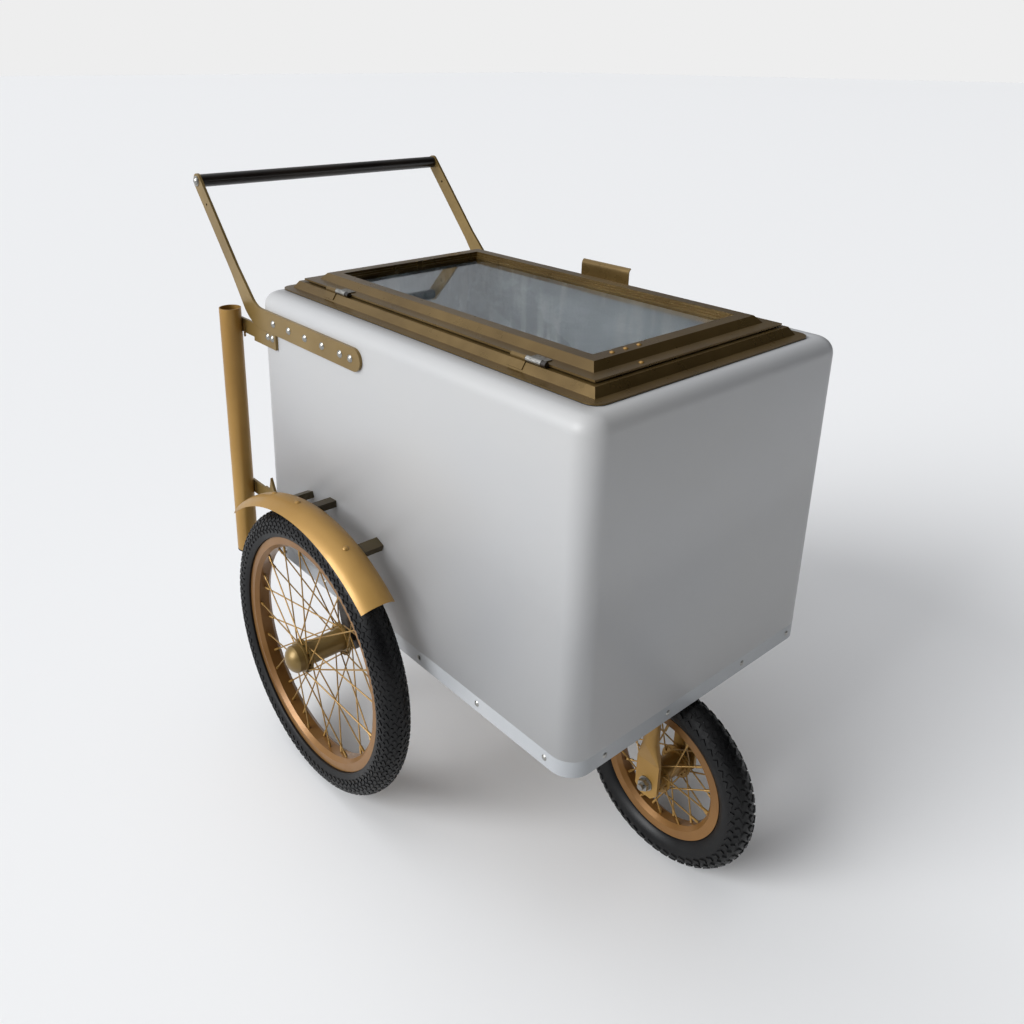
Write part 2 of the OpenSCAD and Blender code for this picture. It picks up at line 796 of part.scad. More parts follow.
// Plate on the side of the box with a tab that reaches back to the tube
module pole_bracket(z, h, gusset) {
    tab_z = z + (h - bracket_tab_h) / 2;
    about_x(0, 0, -side_x - bracket_t) linear_extrude(bracket_t) {
        translate([bracket_y0, z]) square([bracket_y1 - bracket_y0, h]);
        translate([bracket_y1, tab_z]) square([pole_y - bracket_y1, bracket_tab_h]);
        if (gusset) translate([box_y1 - 28, z + h]) polygon([[0, 0], [gusset_w, 0], [gusset_w * 0.7, gusset_h]]);
    }
}

module umbrella_brackets() {
    color(gold) difference() {
        union() {
            pole_bracket(upper_bracket_z, upper_bracket_h, false);
            pole_bracket(lower_bracket_z, lower_bracket_h, true);
        }
        about_x(0, 0, -side_x - bracket_t - 1) linear_extrude(bracket_t + 2) strap_outline(nest_gap);
        bracket_holes(bolt_d + 2 * bolt_fit, side_x - 1, side_x + bracket_t + 1);
        translate([pole_x, pole_y, 0]) cylinder(d = pole_tube_d + 0.1, h = 2 * deck_z);
    }
}

// ---------- Rear axle and wheels ----------

module drop_plates() {
    color(black) for (s = [-1, 1])
        about_x(rear_y, rear_r, s > 0 ? plate_x - plate_t : -plate_x) linear_extrude(plate_t) difference() {
            union() {
                circle(plate_r);
                polygon([[-plate_r, 0], [plate_r, 0], [plate_half_top, cross_z0 - rear_r],
                    [-plate_half_top, cross_z0 - rear_r]]);
            }
            circle(d = rear_axle_d + 2 * bolt_fit);
        }
}

module axle_beam() {
    l = 2 * (plate_x - plate_t);
    color(black) translate([0, rear_y, rear_r]) difference() {
        cube([l, beam_w, beam_w], center = true);
        cube([l + 2, beam_w - 2 * beam_t, beam_w - 2 * beam_t], center = true);
    }
}

module rear_axle() {
    color(steel) translate([-rear_axle_half, rear_y, rear_r]) rotate([0, 90, 0])
        cylinder(d = rear_axle_d, h = 2 * rear_axle_half);
}

// Tube round the X axis from x0 to x1, on the centre line y, z
module tube_x(y, z, x0, x1, d, hole) {
    translate([x0, y, z]) rotate([0, 90, 0]) difference() {
        cylinder(d = d, h = x1 - x0);
        translate([0, 0, -1]) cylinder(d = hole, h = x1 - x0 + 2);
    }
}

module axle_spacers() {
    x1 = rear_track_half + hub_s0 + 2 - 0.1;
    color(black) for (s = [-1, 1]) scale_side(s)
        tube_x(rear_y, rear_r, plate_x, x1, 24, rear_axle_d + 2 * bolt_fit);
}

module axle_nuts() {
    x = rear_track_half + hub_s1 - 2 + 0.1;
    color(steel) for (s = [-1, 1]) scale_side(s) {
        tube_x(rear_y, rear_r, x, x + washer_t, 30, rear_axle_d + 2 * bolt_fit);
        translate([x + washer_t, rear_y, rear_r]) rotate([0, 90, 0]) nut(nut_af, nut_t, rear_axle_d + 2 * bolt_fit);
    }
}

// Places a rear wheel's parts: they are drawn with +X pointing outwards and the wheel's middle at the origin
module at_rear_wheel(s) {
    translate([s * rear_track_half, rear_y, rear_r]) scale_side(s) children();
}

// Disc round the X axis between s0 and s1
module disc(s0, s1, d) {
    translate([s0, 0, 0]) rotate([0, 90, 0]) cylinder(d = d, h = s1 - s0);
}

// Spoke holes of one flange in the middle plane at s
module spoke_holes(s, count, circle_r, t, first) {
    step = 720 / count;
    for (i = [0:count / 2 - 1]) rotate([first + i * step, 0, 0])
        translate([s - t / 2 - 1, circle_r, 0]) rotate([0, 90, 0]) cylinder(d = spoke_hole_d, h = t + 2);
}

module rear_hub(s) {
    hole_r = flange_d / 2 - 5;
    step = 360 / rear_spokes;
    color(gold) at_rear_wheel(s) difference() {
        union() {
            disc(hub_s0, flange_in, flange_d - 14);
            disc(flange_in - hub_flange_t / 2, flange_in + hub_flange_t / 2, flange_d);
            disc(flange_in, flange_out, barrel_d);
            disc(flange_out - hub_flange_t / 2, flange_out + hub_flange_t / 2, flange_d);
            disc(flange_out, hub_s1, flange_d - 14);
        }
        disc(hub_s0 - 1, hub_s1 + 1, bearing_d - 7);
        disc(hub_s0 - 1, hub_s0 + 2 + bearing_w, bearing_d);
        disc(hub_s1 - 2 - bearing_w, hub_s1 + 1, bearing_d);
        spoke_holes(flange_out, rear_spokes, hole_r, hub_flange_t, 0);
        spoke_holes(flange_in, rear_spokes, hole_r, hub_flange_t, step);
    }
}

module rear_bearings(s) {
    color(steel) at_rear_wheel(s) for (s0 = [hub_s0 + 2, hub_s1 - 2 - bearing_w]) difference() {
        disc(s0, s0 + bearing_w, bearing_d - 0.02);
        disc(s0 - 1, s0 + bearing_w + 1, rear_axle_d + 2 * run_fit);
    }
}

// Hollow domed cap that covers the axle nut
module rear_cap(s) {
    t = 2;
    lip_h = 3;
    dome_h = 14;
    body_r = cap_d / 2 - 2;
    dome_r = (body_r * body_r + dome_h * dome_h) / (2 * dome_h);
    color(gold) at_rear_wheel(s) translate([hub_s1, 0, 0]) rotate([0, 90, 0]) rotate_extrude() difference() {
        union() {
            square([cap_d / 2 + 1, lip_h]);
            square([body_r, cap_l - dome_h]);
            translate([0, cap_l - dome_r]) intersection() {
                circle(dome_r);
                translate([0, dome_r - dome_h]) square([body_r, dome_h]);
            }
        }
        square([body_r - t, cap_l - dome_h]);
        translate([0, cap_l - dome_r]) intersection() {
            circle(dome_r - t);
            translate([0, dome_r - dome_h]) square([body_r - t, dome_h]);
        }
    }
}

// Rim with a channel for the tyre's beads, round the X axis
module rim_ring(d, w) {
    r = d / 2;
    rotate([0, 90, 0]) rotate_extrude($fn = 96) polygon([
        [r, w / 2], [r, w / 2 - rim_t], [r - 10, w / 2 - rim_t], [r - 10, rim_t - w / 2], [r, rim_t - w / 2],
        [r, -w / 2], [r - 14, -w / 2], [r - 20, 7 - w / 2], [r - 20, w / 2 - 7], [r - 14, w / 2]
    ]);
}

// Tyre whose beads sit in the rim's channel, open towards the rim
module tyre_ring(d, w, rim_d, rim_w) {
    rim_r = rim_d / 2;
    mid_r = d / 2 - w / 2;
    bead_half = rim_w / 2 - rim_t - nest_gap;
    wall = 5;
    rotate([0, 90, 0]) rotate_extrude($fn = 96) difference() {
        union() {
            intersection() {
                translate([mid_r, 0]) circle(d = w);
                translate([rim_r + nest_gap, -w]) square([w, 2 * w]);
            }
            translate([rim_r - 9.5, -bead_half]) square([15, 2 * bead_half]);
        }
        intersection() {
            translate([mid_r, 0]) circle(d = w - 2 * wall);
            translate([rim_r + 4, -w]) square([w, 2 * w]);
        }
        translate([rim_r - 20, -bead_half + 5]) square([mid_r - rim_r + 20, 2 * bead_half - 10]);
    }
}

// Crossed spokes: each has a head in its flange, an elbow, a straight run and a nipple at the rim
module spoke_set(count, crosses, s_out, s_in, flange_dia, flange_t, rim_dia) {
    hub_r = flange_dia / 2 - 5;
    rim_r = rim_dia / 2 - 20.6;
    step = 360 / count;
    elbow_d = spoke_hole_d - 0.2;
    turn = crosses * 2 * step;
    reach = sqrt(rim_r * rim_r + hub_r * hub_r - 2 * rim_r * hub_r * cos(turn));
    lean = (rim_r * cos(turn) - hub_r) / reach * hub_r;
    leave = (sqrt(lean * lean + flange_dia * flange_dia / 4 - hub_r * hub_r) - lean + spoke_d) / reach;
    for (k = [0:count - 1]) {
        out = k % 2 == 0;
        lead = floor(k / 2) % 2 == 0 ? 1 : -1;
        flange = out ? s_out : s_in;
        hub_a = k * step + lead * turn;
        rim_s = (out ? 4 : -4) + lead * 2;
        slant = lead * flange > 0 ? leave * abs(flange - rim_s) : 0;
        side_off = flange_t / 2 + elbow_d / 2 + 0.1 + slant;
        s = flange + lead * side_off;
        a = [s, hub_r * cos(hub_a), hub_r * sin(hub_a)];
        b = [rim_s, rim_r * cos(k * step), rim_r * sin(k * step)];
        v = (b - a) / norm(b - a);
        rod(a, b - v * nipple_l / 2, spoke_d);
        rod(b - v * nipple_l, b, nipple_d);
        translate([flange, a[1], a[2]]) rotate([0, lead * 90, 0]) {
            translate([0, 0, -flange_t / 2 - 1]) cylinder(d = elbow_d, h = flange_t / 2 + 1 + side_off + elbow_d / 2);
            translate([0, 0, -flange_t / 2 - 1.6]) cylinder(d = 4.4, h = 1.5);
        }
    }
}

module hub_right() {
    rear_hub(-1);
}

module hub_bearings_right() {
    rear_bearings(-1);
}

module hub_cap_right() {
    rear_cap(-1);
}

module rim_right() {
    color(gold) at_rear_wheel(-1) rim_ring(rear_rim_d, rear_rim_w);
}

module rear_spoke_set(s) {
    color(gold) at_rear_wheel(s)
        spoke_set(rear_spokes, 3, flange_out, flange_in, flange_d, hub_flange_t, rear_rim_d);
}

module spokes_right() {
    rear_spoke_set(-1);
}

module tyre_right() {
    color(black) at_rear_wheel(-1) tyre_ring(rear_tyre_d, rear_tyre_w, rear_rim_d, rear_rim_w);
}

module hub_left() {
    rear_hub(1);
}

module hub_bearings_left() {
    rear_bearings(1);
}

module hub_cap_left() {
    rear_cap(1);
}

module rim_left() {
    color(gold) at_rear_wheel(1) rim_ring(rear_rim_d, rear_rim_w);
}

module spokes_left() {
    rear_spoke_set(1);
}

module tyre_left() {
    color(black) at_rear_wheel(1) tyre_ring(rear_tyre_d, rear_tyre_w, rear_rim_d, rear_rim_w);
}

// ---------- Fenders ----------

// Round shapes about a fender's own axis, from one angle over a span; outlines give radius against width
module fender_sweep(s, from, span) {
    translate([s * fender_x, fender_y, fender_z]) scale_side(s) rotate([90, 0, 90])
        rotate([0, 0, from]) rotate_extrude(angle = span, $fn = 96) children();
}

// Cross-section of a crowned sheet between two depths under the crown
module crown_section(depth0, depth1, half_w0, half_w1) {
    translate([fender_r - fender_arc_r, 0]) intersection() {
        difference() {
            circle(fender_arc_r - depth0);
            circle(fender_arc_r - depth1);
        }
        translate([fender_arc_r - fender_crown, -half_w0]) square([2 * fender_crown, half_w0 + half_w1]);
    }
}

// Places children on each bolt of a fender, with +Z pointing away from the fender's axis
module at_fender_bolts(s) {
    for (a = fender_stays) translate([s * fender_x, fender_y, fender_z]) rotate([a, 0, 0]) rotate([-90, 0, 0])
        translate([0, 0, fender_r]) children();
}

module fender(s) {
    color(gold) difference() {
        fender_sweep(s, 90 - fender_angle / 2, fender_angle) crown_section(0, fender_t, fender_w, fender_w);
        at_fender_bolts(s) translate([0, 0, -8]) cylinder(d = fender_bolt_d + 2 * bolt_fit, h = 10);
    }
}

module fender_right() {
    fender(-1);
}

module fender_left() {
    fender(1);
}

// Stub from the side of the box to the fender's inner edge, with a strap that follows the fender's underside
module fender_bracket(s, a) {
    lip_r = fender_r - fender_crown;
    reach = fender_x - side_x;
    translate([s * fender_x, fender_y, fender_z]) scale_side(s) rotate([a, 0, 0]) rotate([90, 0, 90])
        translate([lip_r - stay_h, -stay_w / 2, -reach]) cube([stay_h, stay_w, reach - fender_w / 2 + 6]);
    fender_sweep(s, a - stay_angle / 2, stay_angle)
        crown_section(fender_t, fender_t + stay_t, fender_w / 2 - 1, 9);
}

module fender_brackets() {
    color(black) difference() {
        for (s = [-1, 1], a = fender_stays) fender_bracket(s, a);
        for (s = [-1, 1]) at_fender_bolts(s) translate([0, 0, -8]) cylinder(d = fender_bolt_d + 2 * bolt_fit, h = 10);
    }
}

module fender_bolts() {
    grip = fender_t + stay_t;
    color(steel) for (s = [-1, 1]) at_fender_bolts(s) {
        button_bolt(fender_bolt_d, grip + 5, 11, 3);
        translate([0, 0, -grip - 5]) cylinder(d = 10 / cos(30), h = 4.5, $fn = 6);
    }
}

// ---------- Steering and front wheel ----------

module steering_head() {
    y0 = box_y0 + rail_in;
    bore = stem_d + 2 * run_fit + 2 * bush_t;
    color("dimgray") difference() {
        union() {
            translate([-90, y0, head_z0]) cube([180, front_tube_y - y0, head_plate_t]);
            translate([0, front_y, head_z0]) cylinder(d = head_d, h = head_z1 - head_z0);
        }
        translate([0, front_y, head_z0 - 1]) cylinder(d = bore, h = head_z1 - head_z0 + 2);
    }
}

module steering_bushes() {
    bore = stem_d + 2 * run_fit;
    body_d = bore + 2 * bush_t - 0.02;
    color(steel) translate([0, front_y, 0]) difference() {
        union() {
            translate([0, 0, crown_z1 + move_gap]) cylinder(d = head_d, h = head_z0 - crown_z1 - move_gap);
            translate([0, 0, head_z0 - 1]) cylinder(d = body_d, h = bush_l + 1);
            translate([0, 0, head_z1 - bush_l]) cylinder(d = body_d, h = bush_l + 1);
            translate([0, 0, head_z1]) cylinder(d = head_d, h = bush_rim);
        }
        translate([0, 0, crown_z0]) cylinder(d = bore, h = head_z1);
    }
}

module fork_blade(s) {
    translate([s * blade_x, front_y, 0]) {
        translate([0, 0, blade_low]) cylinder(d = blade_d, h = crown_z0 + crown_h / 2 - blade_low);
        hull() {
            translate([0, 0, blade_low - 0.5]) cylinder(d = blade_d, h = 1, $fn = 32);
            translate([0, 0, dropout_top]) cube([dropout_t, dropout_w, 1], center = true);
        }
    }
    about_x(front_y, front_r, s * blade_x - dropout_t / 2) linear_extrude(dropout_t) polygon([
        [-dropout_w / 2, dropout_top - front_r], [dropout_w / 2, dropout_top - front_r], [dropout_w / 2, -12],
        [10, -24], [-10, -24], [-dropout_w / 2, -12]
    ]);
}

module fork() {
    color(gold) difference() {
        union() {
            for (s = [-1, 1]) {
                fork_blade(s);
                translate([s * blade_x, front_y, crown_z0]) cylinder(d = crown_w, h = crown_h);
            }
            translate([-blade_x, front_y - crown_w / 2, crown_z0]) cube([2 * blade_x, crown_w, crown_h]);
            translate([0, front_y, crown_z0]) cylinder(d = stem_d, h = stem_z1 - crown_z0);
        }
        translate([-2 * blade_x, front_y, front_r]) rotate([0, 90, 0])
            cylinder(d = front_axle_d + 2 * bolt_fit, h = 4 * blade_x);
    }
}

module stem_nut() {
    color(steel) translate([0, front_y, head_z1 + bush_rim + move_gap]) nut(34, stem_nut_t, stem_d);
}

module front_axle() {
    color(steel) translate([-front_axle_half, front_y, front_r]) rotate([0, 90, 0])
        cylinder(d = front_axle_d, h = 2 * front_axle_half);
}

// Axle nuts and washers outside the fork, and the spacers inside it
module front_axle_nuts() {
    hole = front_axle_d + 2 * bolt_fit;
    x = blade_x + dropout_t / 2;
    color(steel) for (s = [-1, 1]) scale_side(s) {
        tube_x(front_y, front_r, x, x + 2, 24, hole);
        translate([x + 2, front_y, front_r]) rotate([0, 90, 0]) nut(17, 8, hole);
        tube_x(front_y, front_r, front_hub_half - 1 + 0.1, x - dropout_t, 16, hole);
    }
}

module at_front_wheel() {
    translate([0, front_y, front_r]) children();
}

module front_hub() {
    hole_r = front_flange_d / 2 - 5;
    step = 360 / front_spokes;
    color(gold) at_front_wheel() difference() {
        union() {
            disc(-front_hub_half, front_hub_half, front_barrel_d);
            for (s = [-1, 1]) disc(s * front_flange - hub_flange_t / 2, s * front_flange + hub_flange_t / 2, front_flange_d);
        }
        disc(-front_hub_half - 1, front_hub_half + 1, front_bearing_d - 6);
        for (s = [-1, 1]) scale_side(s)
            disc(front_hub_half - 1 - front_bearing_w, front_hub_half + 1, front_bearing_d);
        spoke_holes(front_flange, front_spokes, hole_r, hub_flange_t, 0);
        spoke_holes(-front_flange, front_spokes, hole_r, hub_flange_t, step);
    }
}

module front_bearings() {
    color(steel) at_front_wheel() for (s = [-1, 1]) scale_side(s) difference() {
        disc(front_hub_half - 1 - front_bearing_w, front_hub_half - 1, front_bearing_d - 0.02);
        disc(0, 2 * front_hub_half, front_axle_d + 2 * run_fit);
    }
}

module front_rim() {
    color(gold) at_front_wheel() rim_ring(front_rim_d, front_rim_w);
}

module front_spokes() {
    color(gold) at_front_wheel()
        spoke_set(front_spokes, 2, front_flange, -front_flange, front_flange_d, hub_flange_t, front_rim_d);
}

module front_tyre() {
    color(black) at_front_wheel() tyre_ring(front_tyre_d, front_tyre_w, front_rim_d, front_rim_w);
}

// ---------- Assembly ----------

body_shell();
inner_liner();
insulation();
floor_panel();
skirt_band();
skirt_rivets();
chassis_frame();
cross_tubes();
base_seal();
base_frame();
lid_gasket();
lid_frame();
glass_pane();
glazing_bead();
lid_screws();
hinge_base_leaves();
hinge_lid_leaves();
hinge_pins();
pull_tab();
handle_strap_right();
handle_strap_left();
backing_strips();
strap_bolts();
handle_bar();
handle_bolts();
umbrella_tube();
umbrella_tube_plug();
umbrella_brackets();
drop_plates();
axle_beam();
rear_axle();
axle_spacers();
axle_nuts();
hub_right();
hub_bearings_right();
hub_cap_right();
rim_right();
spokes_right();
tyre_right();
hub_left();
hub_bearings_left();
hub_cap_left();
rim_left();
spokes_left();
tyre_left();
fender_right();
fender_left();
fender_brackets();
fender_bolts();
steering_head();
steering_bushes();
fork();
stem_nut();
front_axle();
front_axle_nuts();
front_hub();
front_bearings();
front_rim();
front_spokes();
front_tyre();
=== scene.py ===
import json
import math

import bmesh
import bpy
from mathutils import Matrix, Vector


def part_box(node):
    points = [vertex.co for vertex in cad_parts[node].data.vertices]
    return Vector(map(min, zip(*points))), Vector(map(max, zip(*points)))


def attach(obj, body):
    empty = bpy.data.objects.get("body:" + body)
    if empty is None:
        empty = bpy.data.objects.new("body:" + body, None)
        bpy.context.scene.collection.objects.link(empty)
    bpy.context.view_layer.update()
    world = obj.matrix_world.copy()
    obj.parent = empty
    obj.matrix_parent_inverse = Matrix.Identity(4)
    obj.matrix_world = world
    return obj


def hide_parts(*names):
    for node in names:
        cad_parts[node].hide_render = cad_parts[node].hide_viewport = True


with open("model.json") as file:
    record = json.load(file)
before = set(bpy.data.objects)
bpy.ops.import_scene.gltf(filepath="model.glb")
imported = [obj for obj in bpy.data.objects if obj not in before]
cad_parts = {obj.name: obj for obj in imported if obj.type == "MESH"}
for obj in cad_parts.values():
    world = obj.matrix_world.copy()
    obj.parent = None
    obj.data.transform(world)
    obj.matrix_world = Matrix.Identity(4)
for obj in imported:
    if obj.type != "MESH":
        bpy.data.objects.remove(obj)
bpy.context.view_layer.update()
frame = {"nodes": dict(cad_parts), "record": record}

NODES = frame["nodes"]


# ---------- Paints and finishes ----------

def new_finish(name):
    finish = bpy.data.materials.new(name)
    finish.use_nodes = True
    tree = finish.node_tree
    tree.nodes.clear()
    out = tree.nodes.new("ShaderNodeOutputMaterial")
    shader = tree.nodes.new("ShaderNodeBsdfPrincipled")
    tree.links.new(shader.outputs["BSDF"], out.inputs["Surface"])
    place = tree.nodes.new("ShaderNodeTexCoord")
    return finish, tree, shader, place.outputs["Object"]


def grain(tree, place, scale, detail=4.0, stretch=(1, 1, 1)):
    """Noise over the object, stretched along its axes."""
    turn = tree.nodes.new("ShaderNodeMapping")
    turn.inputs["Scale"].default_value = stretch
    tree.links.new(place, turn.inputs["Vector"])
    noise = tree.nodes.new("ShaderNodeTexNoise")
    noise.inputs["Scale"].default_value = scale
    noise.inputs["Detail"].default_value = detail
    tree.links.new(turn.outputs["Vector"], noise.inputs["Vector"])
    return noise.outputs["Fac"]


def ramp(tree, value, stops):
    """Turns a value into a colour or, where the stops are numbers, into a grey."""
    node = tree.nodes.new("ShaderNodeValToRGB")
    marks = node.color_ramp.elements
    while len(marks) < len(stops):
        marks.new(0.5)
    for mark, (at, colour) in zip(marks, stops):
        mark.position = at
        mark.color = (*colour, 1) if isinstance(colour, tuple) else (colour, colour, colour, 1)
    tree.links.new(value, node.inputs["Fac"])
    return node.outputs["Color"]


def raise_surface(tree, shader, heights):
    """Adds up bumps: each is a height value, a strength and a depth in metres."""
    below = None
    for height, strength, depth in heights:
        bump = tree.nodes.new("ShaderNodeBump")
        bump.inputs["Strength"].default_value = strength
        bump.inputs["Distance"].default_value = depth
        tree.links.new(height, bump.inputs["Height"])
        if below:
            tree.links.new(below, bump.inputs["Normal"])
        below = bump.outputs["Normal"]
    tree.links.new(below, shader.inputs["Normal"])


def painted(name, dark, light, metallic, rough, coat=0.0, patch=6.0, peel=0.25):
    """Sprayed paint: slow drift in colour, patches of duller gloss and fine orange peel."""
    finish, tree, shader, place = new_finish(name)
    drift = grain(tree, place, patch, 5.0)
    tree.links.new(ramp(tree, drift, [(0.3, dark), (0.7, light)]), shader.inputs["Base Color"])
    gloss = grain(tree, place, patch * 5, 3.0)
    tree.links.new(ramp(tree, gloss, [(0.25, rough * 0.8), (0.75, rough * 1.25)]), shader.inputs["Roughness"])
    shader.inputs["Metallic"].default_value = metallic
    shader.inputs["Coat Weight"].default_value = coat
    shader.inputs["Coat Roughness"].default_value = 0.12
    raise_surface(tree, shader, [(grain(tree, place, 420.0, 2.0), peel, 0.0003)])
    return finish


def gel_coat():
    """The box's white skin: its two tones are greyer than real gel coat, to suit this light."""
    finish, tree, shader, place = new_finish("white_gel_coat")
    drift = grain(tree, place, 2.2, 3.0)
    tone = ramp(tree, drift, [(0.3, (0.388, 0.393, 0.402)), (0.7, (0.412, 0.410, 0.405))])
    tree.links.new(tone, shader.inputs["Base Color"])
    haze = grain(tree, place, 9.0, 6.0)
    tree.links.new(ramp(tree, haze, [(0.3, 0.44), (0.75, 0.52)]), shader.inputs["Roughness"])
    shader.inputs["Coat Weight"].default_value = 0.20
    shader.inputs["Coat Roughness"].default_value = 0.32
    raise_surface(tree, shader, [(grain(tree, place, 3.0, 1.0), 0.10, 0.004)])
    return finish


def tyre_rubber():
    finish, tree, shader, place = new_finish("tyre_rubber")
    dust = grain(tree, place, 14.0, 8.0)
    tone = ramp(tree, dust, [(0.35, (0.0025, 0.0026, 0.0030)), (0.8, (0.0075, 0.0075, 0.0075))])
    tree.links.new(tone, shader.inputs["Base Color"])
    tree.links.new(ramp(tree, dust, [(0.3, 0.36), (0.8, 0.52)]), shader.inputs["Roughness"])
    shader.inputs["Specular IOR Level"].default_value = 0.24
    raise_surface(tree, shader, [(grain(tree, place, 700.0, 3.0), 0.3, 0.0003)])
    return finish


def lining_film():
    """Clear film over the metal lining: long soft wrinkles, with painted shade in their hollows and a painted
    sheen on their crests, and fine upright painted highlight streaks.
    """
    finish, tree, shader, place = new_finish("lining_film")
    wrinkle = grain(tree, place, 7.0, 8.0, (1, 0.5, 1))
    crease = tree.nodes.new("ShaderNodeTexNoise")
    crease.noise_type = "RIDGED_MULTIFRACTAL"
    crease.inputs["Scale"].default_value = 9.0
    crease.inputs["Detail"].default_value = 5.0
    crease.inputs["Distortion"].default_value = 0.6
    tree.links.new(place, crease.inputs["Vector"])
    fine = grain(tree, place, 34.0, 9.0, (1, 1, 0.22))
    # Fine upright streaks painted as highlights: where they rise, the film's colour is mixed towards
    # near-white
    painted_highlight_streaks = ramp(tree, fine, [(0.50, 0.0), (0.64, 0.85)])
    # The film's tone follows the wrinkle noise that also raises the bump: painted shade in the hollows,
    # painted sheen on the crests
    tone = ramp(
        tree, wrinkle, [(0.34, (0.34, 0.35, 0.37)), (0.50, (0.52, 0.56, 0.61)), (0.66, (0.80, 0.84, 0.90))]
    )
    mix = tree.nodes.new("ShaderNodeMix")
    mix.data_type = "RGBA"
    tree.links.new(painted_highlight_streaks, mix.inputs["Factor"])
    tree.links.new(tone, mix.inputs["A"])
    # Near-white of the painted highlight streaks
    mix.inputs["B"].default_value = (0.95, 0.96, 0.98, 1)
    tree.links.new(mix.outputs["Result"], shader.inputs["Base Color"])
    tree.links.new(ramp(tree, wrinkle, [(0.3, 0.18), (0.7, 0.34)]), shader.inputs["Roughness"])
    shader.inputs["Metallic"].default_value = 0.15
    shader.inputs["Coat Weight"].default_value = 0.8
    shader.inputs["Coat Roughness"].default_value = 0.10
    raise_surface(
        tree, shader, [(wrinkle, 1.0, 0.030), (crease.outputs["Fac"], 0.6, 0.008), (fine, 0.9, 0.004)]
    )
    return finish


def brushed_zinc():
    finish, tree, shader, place = new_finish("brushed_zinc")
    streak = grain(tree, place, 160.0, 3.0, (1, 1, 6))
    tone = ramp(tree, streak, [(0.3, (0.26, 0.255, 0.24)), (0.7, (0.38, 0.375, 0.35))])
    tree.links.new(tone, shader.inputs["Base Color"])
    tree.links.new(ramp(tree, streak, [(0.3, 0.25), (0.7, 0.42)]), shader.inputs["Roughness"])
    shader.inputs["Metallic"].default_value = 1.0
    raise_surface(tree, shader, [(streak, 0.1, 0.0002)])
    return finish


def clear_glass():
    finish, tree, shader, place = new_finish("clear_glass")
    smear = grain(tree, place, 7.0, 6.0)
    tree.links.new(ramp(tree, smear, [(0.4, 0.0), (0.8, 0.04)]), shader.inputs["Roughness"])
    shader.inputs["Base Color"].default_value = (0.93, 0.97, 0.96, 1)
    shader.inputs["Transmission Weight"].default_value = 1.0
    shader.inputs["IOR"].default_value = 1.5
    return finish


def foam():
    finish, tree, shader, place = new_finish("cream_foam")
    cells = grain(tree, place, 120.0, 5.0)
    tone = ramp(tree, cells, [(0.3, (0.55, 0.48, 0.30)), (0.7, (0.72, 0.65, 0.45))])
    tree.links.new(tone, shader.inputs["Base Color"])
    shader.inputs["Roughness"].default_value = 0.9
    raise_surface(tree, shader, [(cells, 0.6, 0.001)])
    return finish


FINISHES = {
    "gold_paint": painted("gold_paint", (0.285, 0.155, 0.032), (0.385, 0.222, 0.056), 0.40, 0.42, 0.08, 5.0),
    "white_paint": gel_coat(),
    "liner_metal": lining_film(),
    "foam": foam(),
    "board": painted("sealed_board", (0.30, 0.20, 0.11), (0.42, 0.30, 0.18), 0.0, 0.6),
    "grey_primer": painted("grey_primer", (0.16, 0.16, 0.16), (0.22, 0.22, 0.21), 0.0, 0.6),
    "band_metal": painted("band_paint", (0.34, 0.355, 0.37), (0.40, 0.41, 0.42), 0.1, 0.42, 0.1),
    "bright_steel": brushed_zinc(),
    "black_paint": painted("black_paint", (0.006, 0.004, 0.003), (0.018, 0.012, 0.008), 0.0, 0.34, 0.15),
    "black_rubber": painted("black_rubber", (0.010, 0.010, 0.010), (0.022, 0.022, 0.022), 0.0, 0.6),
    "clear_glass": clear_glass(),
    "tyre_rubber": tyre_rubber(),
}
RIM_PAINT = painted("bronze_rim_paint", (0.165, 0.074, 0.017), (0.245, 0.120, 0.032), 0.40, 0.34, 0.1, 6.0)
SPOKE_PAINT = painted("gold_spoke_paint", (0.27, 0.150, 0.036), (0.37, 0.220, 0.065), 0.45, 0.32)
LID_BRONZE = painted("lid_bronze_paint", (0.098, 0.060, 0.018), (0.158, 0.102, 0.034), 0.62, 0.30, 0.1, 7.0)
STRAP_BRONZE = painted(
    "strap_bronze_paint", (0.175, 0.112, 0.032), (0.255, 0.170, 0.056), 0.50, 0.34, 0.1, 7.0
)
# Gold paint darkened as painted shade, for the fender brackets that sit in shade under the fenders
SHADE_DARKENED_GOLD = painted("shade_darkened_gold_paint", (0.030, 0.022, 0.010), (0.075, 0.055, 0.024), 0.3, 0.4)
# Nodes painted otherwise than the rest of their slot
OWN_FINISH = {
    name: finish
    for finish, names in (
        (SPOKE_PAINT, "lid_screws fender_bolts spokes_right spokes_left front_spokes"),
        (SHADE_DARKENED_GOLD, "fender_brackets"),
        (STRAP_BRONZE, "hub_right hub_left hub_cap_right hub_cap_left"),
        (RIM_PAINT, "rim_right rim_left front_rim"),
        (LID_BRONZE, "lid_frame base_frame pull_tab hinge_base_leaves glazing_bead"),
        (STRAP_BRONZE, "handle_strap_right handle_strap_left umbrella_brackets"),
    )
    for name in names.split()
}

SLOT_OF = {part["node"]: part["material_slot"] for part in frame["record"]["subparts"]}
for name, node in NODES.items():
    node.data.materials.clear()
    node.data.materials.append(OWN_FINISH.get(name, FINISHES[SLOT_OF[name]]))


# ---------- Making pieces ----------

